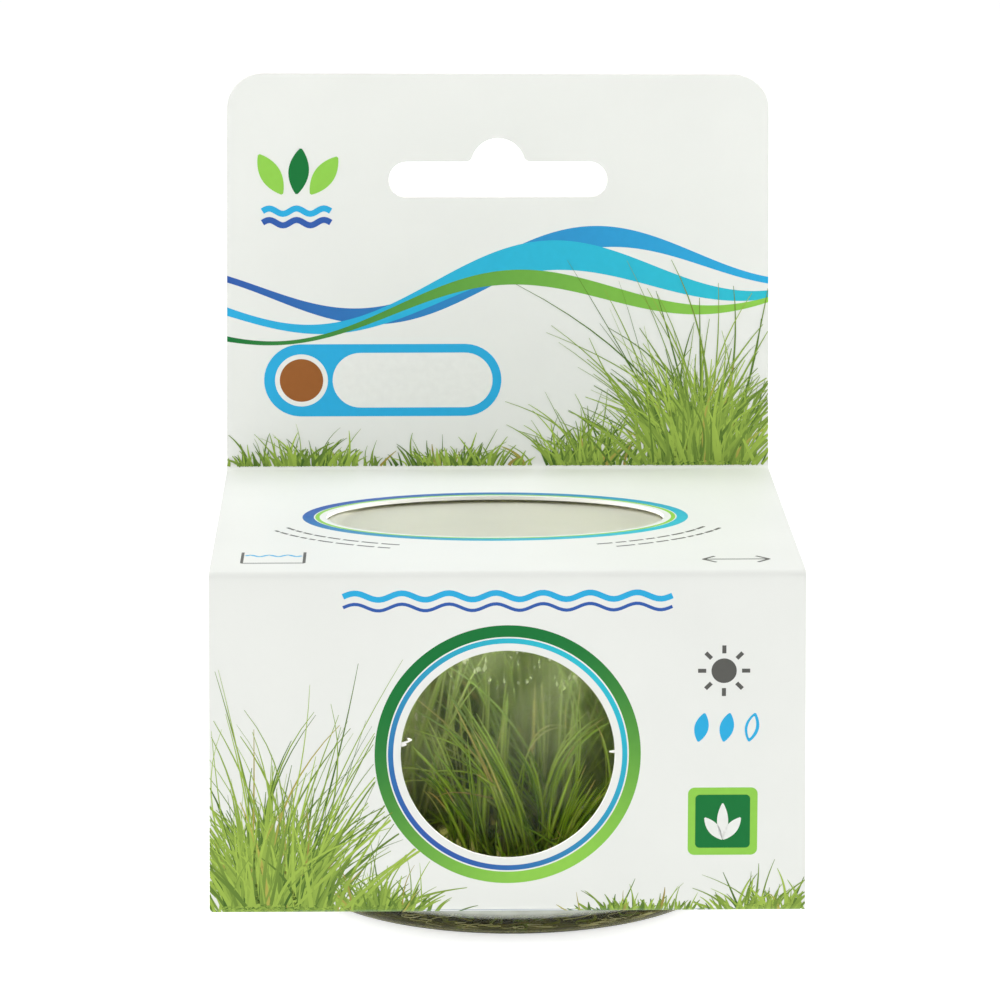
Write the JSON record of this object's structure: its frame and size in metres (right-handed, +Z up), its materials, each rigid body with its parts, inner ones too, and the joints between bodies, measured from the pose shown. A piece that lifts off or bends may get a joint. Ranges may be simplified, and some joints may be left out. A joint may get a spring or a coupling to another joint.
{
  "type": "dwarf hairgrass",
  "caption": "Aquarium hairgrass growing on gel in a clear lidded cup, held in a folded card sleeve with a round window and a hanging header.",
  "frame": {"origin": "on the surface under the cup's foot, at the middle of the part's box", "axes": "+Z up, -Y out of the card's front with the round window, +X to the right as seen from the front"},
  "size_m": [0.0808, 0.071, 0.1111],
  "materials": {
    "white_card": "smooth coated card with a soft sheen",
    "clear_plastic": "clear and glossy",
    "milky_plastic": "milky, satin",
    "gel": "clear yellowish gel, wet",
    "grass_blade": "living leaf, soft sheen"
  },
  "bodies": {
    "root": {"card_sleeve": "white_card", "cup": "clear_plastic", "lid": "milky_plastic", "growing_gel": "gel", "hairgrass_tuft_1": "grass_blade", "hairgrass_tuft_2": "grass_blade", "hairgrass_tuft_3": "grass_blade", "hairgrass_tuft_4": "grass_blade", "hairgrass_tuft_5": "grass_blade", "hairgrass_tuft_6": "grass_blade", "hairgrass_tuft_7": "grass_blade"}
  },
  "joints": []
}
